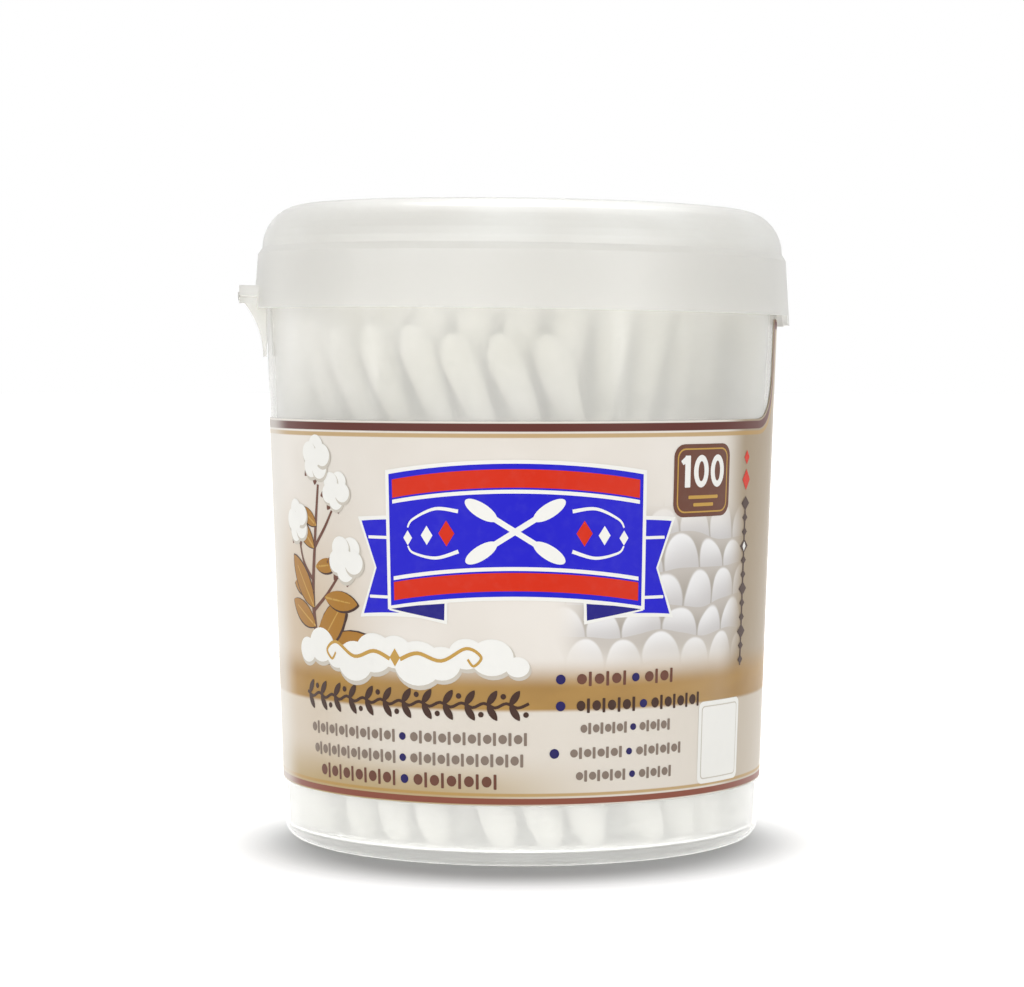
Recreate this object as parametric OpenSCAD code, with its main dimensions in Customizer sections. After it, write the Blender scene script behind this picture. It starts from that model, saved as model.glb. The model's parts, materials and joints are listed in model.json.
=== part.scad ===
// Round tub of one hundred cotton swabs, with a snap lid on a film hinge.
// Origin at the middle of the foot, +Z up, the window of the label faces -Y, the hinge is at -X.
// Azimuths are counted in degrees from the front (-Y) towards +X.

/* [Tub] */
// Outer radius of the side wall, carried down to the foot
tub_foot_r = 33; // [30:0.5:38]
// Height to the top of the rim
tub_h = 79; // [77:0.1:90]
// Slope of the side wall from upright
wall_taper = 2.05; // [1:0.05:3]
// Thickness of the side wall
tub_wall = 0.8; // [0.6:0.05:1.2]
// Thickness of the floor
floor_t = 1; // [0.6:0.1:2]
// Height of the foot ring under the floor
foot_h = 0.8; // [0.4:0.1:2]
// Width of the foot ring
foot_w = 2.6; // [2:0.1:5]
// Rounding of the outer edge at the foot
foot_round = 1.8; // [1:0.1:2.2]
// Rounding where the floor meets the wall inside
floor_round = 1.4; // [0.5:0.1:2]
// How far the rim bead stands out of the wall
rim_bead = 0.15; // [0.1:0.05:0.3]
// Height of the rim bead
rim_bead_h = 1.3; // [0.8:0.1:2]
// Diameter of the moulding gate's dimple under the floor
gate_d = 7; // [4:0.5:12]
// Depth of the gate dimples
gate_depth = 0.3; // [0.1:0.05:0.4]

/* [Lid] */
// Height of the lid above the rim, more where the swabs need it
lid_h = 7.5; // [6.8:0.05:12]
// Least height kept free over the swabs, under the flat of the lid
head_room = 3; // [2:0.5:8]
// Wall thickness of the lid
lid_wall = 0.65; // [0.5:0.05:1]
// Radius of the flat middle of the lid
lid_flat_r = 30.5; // [15:0.5:32]
// How far the upper wall stands in from the skirt
lid_step = 0.62; // [0.4:0.02:1]
// Height of the slope between the upper wall and the skirt
step_h = 0.9; // [0.5:0.1:1.5]
// How far the skirt reaches down past the rim
skirt_h = 6.9; // [6.2:0.1:7.5]
// How far the skirt spreads at its edge
skirt_flare = 0.5; // [0.3:0.02:0.9]
// Running gap between the rim bead and the skirt
skirt_gap = 0.2; // [0.15:0.01:0.4]
// Gap between the rim and the ledge that rests on it
seat_gap = 0.05; // [0.02:0.01:0.2]
// How far the closed lid leans down towards the thumb lip
lid_tilt = 0.8; // [0:0.1:1.5]
// Width of the thumb lip
lip_w = 16; // [8:1:24]
// How far the thumb lip hangs below the skirt
lip_drop = 1.4; // [0.8:0.1:3]
// Rounding of the thumb lip's corners
lip_round = 1.2; // [0.5:0.1:2]

/* [Hinge] */
// How far the hinge line stands out of the rim bead
hinge_out = 2.73; // [2.4:0.05:4]
// How far the hinge line lies under the top of the rim
hinge_drop = 4.2; // [3:0.1:5]
// Width of the hinge
hinge_w = 18; // [10:1:26]
// Thickness of the lid's hinge ear
ear_t = 1.4; // [1:0.1:2]
// Thickness of the bracket's shelf
shelf_t = 0.9; // [0.6:0.1:1.5]
// Height of the bracket with its gussets
gusset_h = 8.2; // [4:0.1:10]
// Thickness of a gusset
gusset_t = 1; // [0.6:0.1:1.5]
// Number of gussets
gusset_n = 3; // [2:1:5]
// Slit left where the film of the hinge bends
film_gap = 0.2; // [0.1:0.05:0.4]
// Side gap between the bracket and the notch in the skirt
notch_gap = 0.5; // [0.3:0.1:1]

/* [Label] */
// Height of the label's lower edge
label_z = 8.2; // [4:0.1:12]
// Gap from the top of the rim down to the label's upper edge
label_rim = 7.4; // [7:0.1:15]
// Depth of the window below the label's upper edge
window_h = 13.5; // [10:0.1:30]
// Thickness of the label
label_t = 0.1; // [0.05:0.01:0.2]
// Fit between the label and the wall
label_fit = 0.02; // [0.01:0.01:0.05]
// Width of the window round the tub, in degrees
window_w = 192; // [90:1:200]
// Azimuth of the middle of the window
window_at = -19; // [-25:1:-15]
// Corner rounding at the foot of the window, in degrees
window_corner = 11; // [4:1:20]

/* [Swabs] */
// Length of a swab over its cotton tips
swab_l = 73; // [66:0.5:76]
// Diameter of a stick
stick_d = 2.4; // [2:0.1:2.6]
// Largest diameter of a cotton tip
tip_d = 4.8; // [4:0.1:4.9]
// Length of a cotton tip
tip_l = 15; // [12:0.5:18]
// Length of the rounded nose of a tip
tip_nose = 4.2; // [3:0.1:6]
// Cotton past the end of the stick
tip_cap = 1.2; // [0.6:0.1:2]
// Thickness of the cotton where it thins out on the stick
tip_neck = 0.35; // [0.2:0.05:0.6]
// Fit of the cotton round its stick
tip_fit = 0.02; // [0.01:0.01:0.05]
// Swabs in the rings, from the wall inwards, fewer where they find no room
ring_counts = [27, 26, 20, 14, 9, 4];
// Gap between the tips of the outer ring and the second one at the floor
outer_gap = 0.7; // [0.7:0.05:0.8]
// Gap between the tips of one ring and the next further in
ring_gap = 0.3; // [0.2:0.05:0.35]
// Least gap between the tips of one ring, past their stray
side_gap = 0.1; // [0.05:0.05:0.15]
// How much wider each ring stands at the top than at the floor
ring_spread = 1.08; // [1:0.01:1.08]
// Gap between the outer tips and the wall
wall_gap = 0.35; // [0.1:0.05:0.6]
// Gap under the tips that stand on the floor
stand_gap = 0.1; // [0.05:0.05:0.3]
// Swabs that stand together in a bundle of the outer ring
bundle = 3;
// Gap between the tips of a bundle
bundle_gap = 1; // [0.8:0.05:1.1]
// Least gap from bundle to bundle, past the one inside a bundle
bundle_space = 3.2; // [2.8:0.1:3.2]
// Azimuth of the first bundle beside the open gap
bundle_at = 88; // [0:1:359]
// Turn of the outer swabs from floor to top on either side of the open gap
outer_twist = [4, -54];
// Turn of the inner swabs from floor to top, from the second ring inwards
inner_twist = [22, -18, 20, -24, 24];
// Stray of the standing swabs along the ring
stray = 0.2; // [0:0.05:0.2]
// Which stray arrangement is laid out
stray_seed = 7; // [1:1:40]

/* [Hidden] */

cut = 1;
round_fn = 96;
small_fn = 32;

plastic = "#e4e5e0";
cream = "#e2d6bc";
cotton = "#f3f1ec";
paper = "#f7f6f2";

// Radius of the tub's outside at height z
function wall_r(z) = tub_foot_r + z * tan(wall_taper);
// Points of an arc from angle a to angle b about [x, z]
function arc(x, z, r, a, b, n = 6) = [
    for (i = [0 : n]) let (t = a + (b - a) * i / n) [x + r * cos(t), z + r * sin(t)]
];
// Point at radius r and azimuth a, seen from above
function at(r, a) = [r * sin(a), -r * cos(a)];

floor_z = foot_h + floor_t;
rim_r = wall_r(tub_h) + rim_bead;
hinge_x = rim_r + hinge_out;
hinge_z = tub_h - hinge_drop;

// The lid is drawn level and as much too high as its lean brings the far side down
lid_lift = sin(lid_tilt) * (hinge_x + rim_r);
seat_z = tub_h + seat_gap + lid_lift;
skirt_r = rim_r + skirt_gap + lid_wall;
skirt_z = seat_z - skirt_h;
lid_top_r = skirt_r - lid_step;
// The lid grows where the swabs stand taller than it would clear
swab_top_z = floor_z + stand_gap + swab_l;
lid_top_z = max(seat_z + lid_h, swab_top_z + head_room + lid_lift + lid_wall);
shoulder_z = lid_top_z - lid_h + lid_wall + step_h;
lip_z = skirt_z - lip_drop;

tip_r = tip_d / 2;
outer_foot_r = wall_r(floor_z + tip_nose) - tub_wall - wall_gap - tip_r;
bundle_pitch = (tip_d + bundle_gap) / outer_foot_r * 180 / PI;
bundle_w = bundle * (tip_d + bundle_gap) + bundle_space;
bundles = min(floor(ring_counts[0] / bundle), floor(2 * PI * outer_foot_r / bundle_w));

// The rings move closer together where the tub is narrow
outer_pitch = tip_d + outer_gap;
ring_pitch = tip_d + ring_gap;
squeeze = min(1, outer_foot_r / (outer_pitch + (len(ring_counts) - 2) * ring_pitch));
// Radius of ring r at the foot of its swabs
function ring_foot_r(r) = outer_foot_r - (r > 0 ? squeeze * (outer_pitch + (r - 1) * ring_pitch) : 0);
// Swabs that stand in ring r
function ring_n(r) =
    let (half_w = tip_r + stray + side_gap / 2, foot_r = ring_foot_r(r))
    r == 0 ? bundle * bundles : min(ring_counts[r], foot_r > half_w ? floor(180 / asin(half_w / foot_r)) : 1);

// Outline of the tub's outside, foot recess and rim bead included
module tub_outside() {
    bead_z = tub_h - rim_bead_h;
    soft = rim_bead;
    rotate_extrude($fn = round_fn) polygon(concat(
        [[0, foot_h], [tub_foot_r - foot_w - foot_h, foot_h], [tub_foot_r - foot_w, 0]],
        arc(wall_r(foot_round) - foot_round / cos(wall_taper), foot_round, foot_round, -90, -wall_taper),
        [[wall_r(bead_z), bead_z], [rim_r, bead_z + soft]],
        [[rim_r, tub_h - soft], [rim_r - soft, tub_h], [0, tub_h]]
    ));
}

// Space inside the tub, open at the top
module tub_inside() {
    rotate_extrude($fn = round_fn) polygon(concat(
        [[0, floor_z]],
        arc(wall_r(floor_z + floor_round) - tub_wall - floor_round / cos(wall_taper),
            floor_z + floor_round, floor_round, -90, -wall_taper),
        [[wall_r(tub_h + cut) - tub_wall, tub_h + cut], [0, tub_h + cut]]
    ));
}

// Shelf and gussets that carry the film of the hinge on the tub
module hinge_bracket() {
    top = hinge_z - film_gap / 2;
    out = hinge_x - film_gap / 4;
    foot = top - gusset_h;
    root = wall_r(foot) - tub_wall / 2;
    reach = out - wall_r(foot);
    // The gussets sweep into the wall along an arc that is upright at their foot
    sweep_r = (reach * reach + gusset_h * gusset_h) / (2 * reach);
    step = (hinge_w - gusset_t) / (gusset_n - 1);
    difference() {
        union() {
            translate([-out, -hinge_w / 2, top - shelf_t]) cube([out - root, hinge_w, shelf_t]);
            for (i = [0 : gusset_n - 1])
                translate([-out, -hinge_w / 2 + i * step, foot]) cube([out - root, gusset_t, gusset_h]);
        }
        difference() {
            translate([-wall_r(foot) - sweep_r, 0, foot]) rotate([90, 0, 0])
                cylinder(r = sweep_r, h = hinge_w + 2 * cut, center = true, $fn = round_fn);
            translate([-out - cut, -hinge_w, top - shelf_t]) cube([out, 2 * hinge_w, shelf_t + cut]);
        }
    }
}

module tub() {
    color(plastic) difference() {
        union() {
            tub_outside();
            hinge_bracket();
        }
        tub_inside();
        translate([0, 0, foot_h - cut]) cylinder(d = gate_d, h = cut + gate_depth, $fn = small_fn);
    }
}

// Half outline of the lid's top and shoulder, on its outer face or inset by the wall
function shoulder(inset) =
    let (rise = lid_top_z - shoulder_z - inset, reach = lid_top_r - inset - lid_flat_r)
    concat(
        [[0, lid_top_z - inset]],
        [for (t = [90 : -10 : 0]) [lid_flat_r + reach * cos(t), shoulder_z + rise * sin(t)]]
    );

// Outer radius of the skirt at height z
function skirt_out(z) = skirt_r + skirt_flare * (seat_z - z) / skirt_h;

module lid_outside() {
    ledge_z = seat_z + lid_wall;
    rotate_extrude($fn = round_fn) polygon(concat(
        shoulder(0), [[skirt_out(ledge_z), ledge_z], [skirt_out(lip_z), lip_z], [0, lip_z]]
    ));
}

// Space inside the lid, with the flat ledge that rests on the rim
module lid_inside() {
    low = lip_z - cut;
    rotate_extrude($fn = round_fn) polygon(concat(
        shoulder(lid_wall),
        [[lid_top_r - lid_wall, seat_z], [skirt_r - lid_wall, seat_z]],
        [[skirt_out(low) - lid_wall, low], [0, low]]
    ));
}

// What is cut away under the edge of the skirt, all but the thumb lip
module skirt_trim() {
    half = lip_w / 2;
    translate([0, 0, lip_z]) difference() {
        translate([0, 0, -cut]) cylinder(r = hinge_x + cut, h = lip_drop + cut, $fn = round_fn);
        rotate([90, 0, 90]) linear_extrude(height = hinge_x + 2 * cut) polygon(concat(
            [[half, lip_drop + cut], [-half, lip_drop + cut]],
            arc(lip_round - half, lip_round, lip_round, 180, 270),
            arc(half - lip_round, lip_round, lip_round, 270, 360)
        ));
    }
}

// Ear of the lid that the film of the hinge hangs on; the notch gives it its underside
module hinge_ear() {
    top = hinge_z + film_gap / 2 + ear_t;
    out = hinge_x - film_gap / 4;
    translate([-out, -hinge_w / 2, skirt_z]) cube([out - skirt_r + lid_wall + cut, hinge_w, top - skirt_z]);
}

// Room in the skirt for the bracket of the hinge
module hinge_notch() {
    notch_w = hinge_w + 2 * notch_gap;
    translate([-hinge_x - cut, -notch_w / 2, lip_z - cut])
        cube([hinge_x, notch_w, hinge_z + film_gap / 2 - lip_z + cut]);
}

module lid() {
    color(plastic)
        translate([-hinge_x, 0, hinge_z]) rotate([0, lid_tilt, 0]) translate([hinge_x, 0, -hinge_z])
            difference() {
                union() {
                    lid_outside();
                    hinge_ear();
                }
                lid_inside();
                skirt_trim();
                hinge_notch();
                translate([0, 0, lid_top_z - gate_depth]) cylinder(d = gate_d, h = cut, $fn = small_fn);
            }
}

// Printed film round the tub, cut away at the window
module label() {
    low = label_z;
    high = tub_h - label_rim;
    face = label_fit + label_t;
    color(cream) difference() {
        rotate_extrude($fn = round_fn) polygon([
            [wall_r(low) + label_fit, low], [wall_r(low) + face, low],
            [wall_r(high) + face, high], [wall_r(high) + label_fit, high]
        ]);
        window();
    }
}

// Slice of a round cake, centred on azimuth a and w degrees wide
module slice(a, w, z, h) {
    reach = 2 * tub_foot_r;
    translate([0, 0, z]) linear_extrude(height = h) polygon(concat(
        [[0, 0]], [for (i = [0 : 8]) at(reach, a - w / 2 + w * i / 8)]
    ));
}

// What clears the window of the label, its lower corners rounded
module window() {
    top = tub_h - label_rim + cut;
    sill = top - cut - window_h;
    corner_r = wall_r(sill) * sin(window_corner);
    inner_w = window_w - 2 * window_corner;
    reach = 2 * tub_foot_r;
    slice(window_at, inner_w, sill, top - sill);
    for (side = [-1, 1])
        rotate([0, 0, window_at + side * inner_w / 2]) translate([0, 0, sill + corner_r]) {
            rotate([90, 0, 0]) cylinder(r = corner_r, h = reach, $fn = round_fn);
            translate([-corner_r, -reach, 0]) cube([2 * corner_r, reach, top - sill - corner_r]);
        }
}

// Foot azimuth and turn of swab i of the outer ring: bundles, with the turn growing round the ring
function outer_place(i) =
    let (b = floor(i / bundle), k = i % bundle - (bundle - 1) / 2)
    [bundle_at + b * 360 / bundles + k * bundle_pitch,
     outer_twist[0] + (outer_twist[1] - outer_twist[0]) * b / (bundles - 1)];

// Foot azimuth and turn of swab i of inner ring r
function inner_place(r, i) = [(i + 0.5 * (r % 2)) * 360 / ring_n(r), inner_twist[r - 1]];

// Foot point and direction of a swab: [x, y, z, lean, heading]
function swab_place(r, i) =
    let (
        place = r == 0 ? outer_place(i) : inner_place(r, i),
        foot_r = ring_foot_r(r),
        top_r = foot_r * ring_spread,
        wander = rands(-stray, stray, 2, stray_seed * 1000 + 50 * r + i),
        foot = at(foot_r, place[0]) + at(wander[0], place[0] + 90),
        top = at(top_r, place[0] + place[1]) + at(wander[1], place[0] + place[1] + 90),
        way = top - foot,
        lean = asin(norm(way) / swab_l),
        sag = norm([tip_r * sin(lean), tip_nose * cos(lean)]) - tip_nose * cos(lean)
    )
    [foot[0], foot[1], floor_z + stand_gap + sag, lean, atan2(way[1], way[0])];

// Puts a shape drawn along +Z in the place of swab i of ring r
module stand(r, i) {
    p = swab_place(r, i);
    translate([p[0], p[1], p[2]]) rotate([0, p[3], p[4]]) children();
}

// One wound cotton tip, its nose at the origin, with the blind hole of its stick
module cotton_tip() {
    neck_r = stick_d / 2 + tip_neck;
    hole_r = stick_d / 2 + tip_fit;
    body_l = tip_l - tip_nose;
    rotate_extrude($fn = small_fn) polygon(concat(
        [for (a = [0 : 22.5 : 90]) [tip_r * sin(a), tip_nose * (1 - cos(a))]],
        [for (t = [0.25 : 0.25 : 1])
            [neck_r + (tip_r - neck_r) * (1 + cos(180 * t)) / 2, tip_nose + body_l * t]],
        [[hole_r, tip_l], [hole_r, tip_cap], [0, tip_cap]]
    ));
}

module sticks(r) {
    color(paper) for (i = [0 : ring_n(r) - 1]) stand(r, i)
        translate([0, 0, tip_cap]) cylinder(d = stick_d, h = swab_l - 2 * tip_cap, $fn = small_fn);
}

module tips(r) {
    color(cotton) for (i = [0 : ring_n(r) - 1]) stand(r, i) {
        cotton_tip();
        translate([0, 0, swab_l]) mirror([0, 0, 1]) cotton_tip();
    }
}

tub();
label();
lid();
sticks(0);  // sticks_ring_1
sticks(1);  // sticks_ring_2
sticks(2);  // sticks_ring_3
sticks(3);  // sticks_ring_4
sticks(4);  // sticks_ring_5
sticks(5);  // sticks_ring_6
tips(0);  // tips_ring_1
tips(1);  // tips_ring_2
tips(2);  // tips_ring_3
tips(3);  // tips_ring_4
tips(4);  // tips_ring_5
tips(5);  // tips_ring_6
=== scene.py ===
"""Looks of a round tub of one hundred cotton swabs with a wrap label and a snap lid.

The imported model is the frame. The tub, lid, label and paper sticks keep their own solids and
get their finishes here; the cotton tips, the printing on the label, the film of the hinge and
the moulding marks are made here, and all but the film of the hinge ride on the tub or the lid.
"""

import json
import logging
import math
from dataclasses import dataclass, field
from enum import Enum
from typing import Sequence

import bmesh
import bpy
import numpy as np
from mathutils import Matrix, Vector, noise

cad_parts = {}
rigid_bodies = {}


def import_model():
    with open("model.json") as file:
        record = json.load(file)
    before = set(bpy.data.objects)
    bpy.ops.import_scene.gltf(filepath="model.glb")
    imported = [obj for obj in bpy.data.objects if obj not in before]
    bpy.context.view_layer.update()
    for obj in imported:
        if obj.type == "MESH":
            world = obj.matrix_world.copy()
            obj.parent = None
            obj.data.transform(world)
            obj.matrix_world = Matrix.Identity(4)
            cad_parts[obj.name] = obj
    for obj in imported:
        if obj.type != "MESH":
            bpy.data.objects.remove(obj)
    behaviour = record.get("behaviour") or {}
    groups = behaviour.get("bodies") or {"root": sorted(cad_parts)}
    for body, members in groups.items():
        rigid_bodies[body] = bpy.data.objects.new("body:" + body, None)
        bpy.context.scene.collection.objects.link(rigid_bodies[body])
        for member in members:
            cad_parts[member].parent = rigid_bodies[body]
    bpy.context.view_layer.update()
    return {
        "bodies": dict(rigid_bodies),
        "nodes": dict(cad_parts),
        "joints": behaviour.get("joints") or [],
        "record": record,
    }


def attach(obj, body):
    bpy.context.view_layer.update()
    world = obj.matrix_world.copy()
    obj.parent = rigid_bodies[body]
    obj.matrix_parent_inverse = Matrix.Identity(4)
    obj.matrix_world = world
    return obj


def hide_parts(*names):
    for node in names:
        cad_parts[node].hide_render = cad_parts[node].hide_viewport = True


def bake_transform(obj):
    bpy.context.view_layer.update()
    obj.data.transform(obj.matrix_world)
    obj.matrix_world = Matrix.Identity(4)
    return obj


MM = 0.001
UNROLL_MM = 34.6  # radius at which the label is unrolled for drawing
PRINT_ROUGH = 0.4  # roughness of the label between its rubs
PRINT_RUB = 0.15  # roughness that the rubs add
PRINT_GLOSS = 0.2  # strength of the label's mirror reflection
LID_GATE = (0.17 * MM, 0.0, 86.75 * MM)  # face of the dimple in the lid
FLOOR_GATE = (0.0, 0.0, 1.1 * MM)  # face of the dimple under the floor
LOG = logging.getLogger("swab_tub")

Colour = tuple[float, float, float, float]
Place = tuple[float, float, float]
Point = tuple[float, float]
Socket, Node, Tree = bpy.types.NodeSocket, bpy.types.Node, bpy.types.NodeTree
Material, Object = bpy.types.Material, bpy.types.Object
BMesh, Vert, Face = bmesh.types.BMesh, bmesh.types.BMVert, bmesh.types.BMFace


def srgb(code: str) -> Colour:
    """Turns a colour written as on screen into the linear colour a shader takes.

    Args:
        code: Six hexadecimal digits, red first.

    Returns:
        Linear red, green and blue, and an alpha of one.
    """
    parts = [int(code[i : i + 2], 16) / 255 for i in (0, 2, 4)]
    return tuple(p / 12.92 if p <= 0.04045 else ((p + 0.055) / 1.055) ** 2.4 for p in parts) + (1.0,)


def eased(t: float) -> float:
    """Smooth step from 0 to 1 for t from 0 to 1."""
    t = min(max(t, 0.0), 1.0)
    return t * t * (3 - 2 * t)


# Shader arithmetic


class Signal:
    """A value inside a node tree; arithmetic on it adds Math nodes."""

    def __init__(self, tree: Tree, socket: Socket) -> None:
        """Wraps one output socket of the tree."""
        self.tree = tree
        self.socket = socket

    def math(self, operation: str, *others: object, clamp: bool = False) -> "Signal":
        """Adds one Math node that starts with this value.

        Args:
            operation: Name of the Math node's operation.
            others: The further inputs, as signals, sockets or plain numbers.
            clamp: Whether the result is held between 0 and 1.

        Returns:
            The node's result.
        """
        node = self.tree.nodes.new("ShaderNodeMath")
        node.operation = operation
        node.use_clamp = clamp
        for slot, value in zip(node.inputs, (self, *others)):
            plug(self.tree, slot, value)
        return Signal(self.tree, node.outputs[0])

    def __add__(self, other: "Signal | float") -> "Signal":
        """Sum."""
        return self.math("ADD", other)

    def __sub__(self, other: "Signal | float") -> "Signal":
        """Difference."""
        return self.math("SUBTRACT", other)

    def __mul__(self, other: "Signal | float") -> "Signal":
        """Product."""
        return self.math("MULTIPLY", other)

    def __truediv__(self, other: "Signal | float") -> "Signal":
        """Quotient."""
        return self.math("DIVIDE", other)

    def ramp(self, low: float, high: float) -> "Signal":
        """Smooth step of this value from 0 at low to 1 at high, or down where low is above high.

        Args:
            low: Where the result is 0.
            high: Where the result is 1.

        Returns:
            A mask between 0 and 1.
        """
        node = self.tree.nodes.new("ShaderNodeMapRange")
        node.interpolation_type = "SMOOTHSTEP"
        self.tree.links.new(self.socket, node.inputs["Value"])
        bounds = (low, high, 0.0, 1.0) if low < high else (high, low, 1.0, 0.0)
        for name, value in zip(("From Min", "From Max", "To Min", "To Max"), bounds):
            node.inputs[name].default_value = value
        return Signal(self.tree, node.outputs["Result"])

    def band(self, low: float, high: float, soft: float) -> "Signal":
        """Mask of the range from low to high, with edges that are soft wide."""
        return self.ramp(low - soft, low + soft) * self.ramp(high + soft, high - soft)

    def hypot(self, other: "Signal") -> "Signal":
        """Length of the vector that this value and another one make."""
        return (self.math("POWER", 2.0) + other.math("POWER", 2.0)).math("SQRT")


def plug(tree: Tree, slot: Socket, value: object) -> None:
    """Links a signal or a socket to an input, or sets the input to a plain value.

    Args:
        tree: The tree that holds both.
        slot: The input.
        value: What goes into it.
    """
    value = value.socket if isinstance(value, Signal) else value
    if isinstance(value, Socket):
        tree.links.new(value, slot)
    else:
        slot.default_value = value


class Bench:
    """Node tree with short calls for the nodes the finishes use."""

    def __init__(self, tree: Tree) -> None:
        """Takes the tree that the calls add to."""
        self.tree = tree

    def node(self, kind: str, **inputs: object) -> Node:
        """Adds a node and sets or links its inputs.

        Args:
            kind: The node's type name.
            inputs: Values by input name, with spaces written as underscores.

        Returns:
            The new node.
        """
        made = self.tree.nodes.new(kind)
        self.feed(made, **inputs)
        return made

    def feed(self, node: Node, **inputs: object) -> None:
        """Sets or links the inputs of a node.

        Args:
            node: The node.
            inputs: Values by input name, with spaces written as underscores.
        """
        for name, value in inputs.items():
            plug(self.tree, node.inputs[name.replace("_", " ")], value)

    def place(self) -> Socket:
        """Object coordinates."""
        return self.node("ShaderNodeTexCoord").outputs["Object"]

    def axes(self, vector: Socket) -> tuple[Signal, Signal, Signal]:
        """The three parts of a vector."""
        parts = self.node("ShaderNodeSeparateXYZ", Vector=vector)
        return tuple(Signal(self.tree, parts.outputs[i]) for i in range(3))

    def vector(self, x: Signal | float, y: Signal | float, z: Signal | float) -> Socket:
        """A vector of three parts."""
        return self.node("ShaderNodeCombineXYZ", X=x, Y=y, Z=z).outputs[0]

    def grain(
        self,
        vector: Socket,
        scale: float | Socket,
        detail: float = 2.0,
        stretch: Place | None = None,
    ) -> Signal:
        """Noise between 0 and 1.

        Args:
            vector: Coordinates, in metres for Object coordinates.
            scale: Cells per unit of the coordinates.
            detail: How many finer layers are added.
            stretch: Scale of each axis before the noise, or None for an even one.

        Returns:
            The noise value.
        """
        if stretch is not None:
            vector = self.node("ShaderNodeMapping", Vector=vector, Scale=stretch).outputs[0]
        made = self.node("ShaderNodeTexNoise", Vector=vector, Scale=scale, Detail=detail)
        return Signal(self.tree, made.outputs["Fac"])

    def blend(self, mask: Signal | float, below: Colour | Socket, above: Colour | Socket) -> Socket:
        """Lays one colour over another.

        Args:
            mask: How far the upper colour covers, from 0 to 1.
            below: The lower colour.
            above: The upper colour.

        Returns:
            The blended colour.
        """
        made = self.tree.nodes.new("ShaderNodeMix")
        made.data_type = "RGBA"
        slots = {slot.identifier: slot for slot in made.inputs}
        for name, value in (("Factor_Float", mask), ("A_Color", below), ("B_Color", above)):
            plug(self.tree, slots[name], value)
        return next(o for o in made.outputs if o.identifier == "Result_Color")

    def bump(self, height: Signal, distance: float, strength: float = 1.0) -> Socket:
        """Normal that follows a height, with distance in metres for a height of one."""
        return self.node("ShaderNodeBump", Strength=strength, Distance=distance, Height=height).outputs[0]

    def rays(self, *kinds: str) -> list[Signal]:
        """Masks of some kinds of ray, by their names on the Light Path node."""
        path = self.node("ShaderNodeLightPath")
        return [Signal(self.tree, path.outputs[kind]) for kind in kinds]

    def join(self, kind: str, shaders: Sequence[Node], output: Node, **inputs: object) -> None:
        """Ends a material with two shaders in one node.

        Args:
            kind: Type name of the node that joins them.
            shaders: The two shaders.
            output: The material's output node.
            inputs: The joining node's other inputs.
        """
        both = self.node(kind, **inputs)
        for slot, shader in zip(list(both.inputs)[-2:], shaders):
            self.tree.links.new(shader.outputs[0], slot)
        self.tree.links.new(both.outputs[0], output.inputs["Surface"])

    def let_lamps_through(self, shader: Node, output: Node, share: float) -> None:
        """Ends a material so that its shadow is only a tint.

        Args:
            shader: The shader that is seen.
            output: The material's output node.
            share: Share of the lamps' light that is left after one face.
        """
        (shadow,) = self.rays("Is Shadow Ray")
        through = self.node("ShaderNodeBsdfTransparent", Color=(share, share, share, 1.0))
        self.join("ShaderNodeMixShader", (shader, through), output, Fac=shadow)

    def use(self, group: Tree, **inputs: object) -> dict[str, Signal]:
        """Places a node group.

        Args:
            group: The group.
            inputs: Values by input name, with spaces written as underscores.

        Returns:
            Its outputs by name.
        """
        made = self.tree.nodes.new("ShaderNodeGroup")
        made.node_tree = group
        self.feed(made, **inputs)
        return {o.name: Signal(self.tree, o) for o in made.outputs}


def new_group(name: str, inputs: dict[str, float | None], outputs: Sequence[str]) -> Tree:
    """Starts a node group with named sockets.

    Args:
        name: Name of the group.
        inputs: Default of each input, or None for a vector.
        outputs: Names of the value outputs.

    Returns:
        The empty group with its input and output nodes.
    """
    tree = bpy.data.node_groups.new(name, "ShaderNodeTree")
    for label, default in inputs.items():
        kind = "NodeSocketVector" if default is None else "NodeSocketFloat"
        slot = tree.interface.new_socket(label, in_out="INPUT", socket_type=kind)
        if default is not None:
            slot.default_value = default
    for label in outputs:
        tree.interface.new_socket(label, in_out="OUTPUT", socket_type="NodeSocketFloat")
    tree.nodes.new("NodeGroupInput")
    tree.nodes.new("NodeGroupOutput")
    return tree


class Effects:
    """The effects that several finishes share, each built once."""

    def __init__(self) -> None:
        """Builds the groups."""
        self.flow = self._mould_flow()
        self.marks = self._handling_marks()

    @staticmethod
    def _ends(tree: Tree) -> tuple[Node, Node]:
        """Input and output node of a group."""
        found = {n.bl_idname: n for n in tree.nodes}
        return found["NodeGroupInput"], found["NodeGroupOutput"]

    def _mould_flow(self) -> Tree:
        """Builds the cloudiness and gentle waviness of thin moulded plastic.

        Returns:
            The group.
        """
        tree = new_group("mould_flow", {"Vector": None, "Cloud Scale": 60.0, "Wave Scale": 25.0}, ("Cloud", "Height"))
        bench = Bench(tree)
        start, end = self._ends(tree)
        spot = start.outputs["Vector"]
        cloud = bench.grain(spot, start.outputs["Cloud Scale"], 3.0).ramp(0.3, 0.7)
        waves = bench.grain(spot, start.outputs["Wave Scale"], 1.0)
        skin = bench.grain(spot, 1400.0, 1.0)
        bench.feed(end, Cloud=cloud, Height=waves + skin * 0.02)
        return tree

    def _handling_marks(self) -> Tree:
        """Builds the fine upright rubs left by handling.

        Returns:
            The group.
        """
        tree = new_group("handling_marks", {"Vector": None, "Amount": 0.5}, ("Marks",))
        bench = Bench(tree)
        start, end = self._ends(tree)
        spot = start.outputs["Vector"]
        rub = bench.grain(spot, 320.0, 4.0, (1.0, 1.0, 0.18)).ramp(0.62, 0.78)
        patch = bench.grain(spot, 38.0, 2.0).ramp(0.5, 0.75)
        bench.feed(end, Marks=(rub * patch).math("MULTIPLY", start.outputs["Amount"], clamp=True))
        return tree


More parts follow.
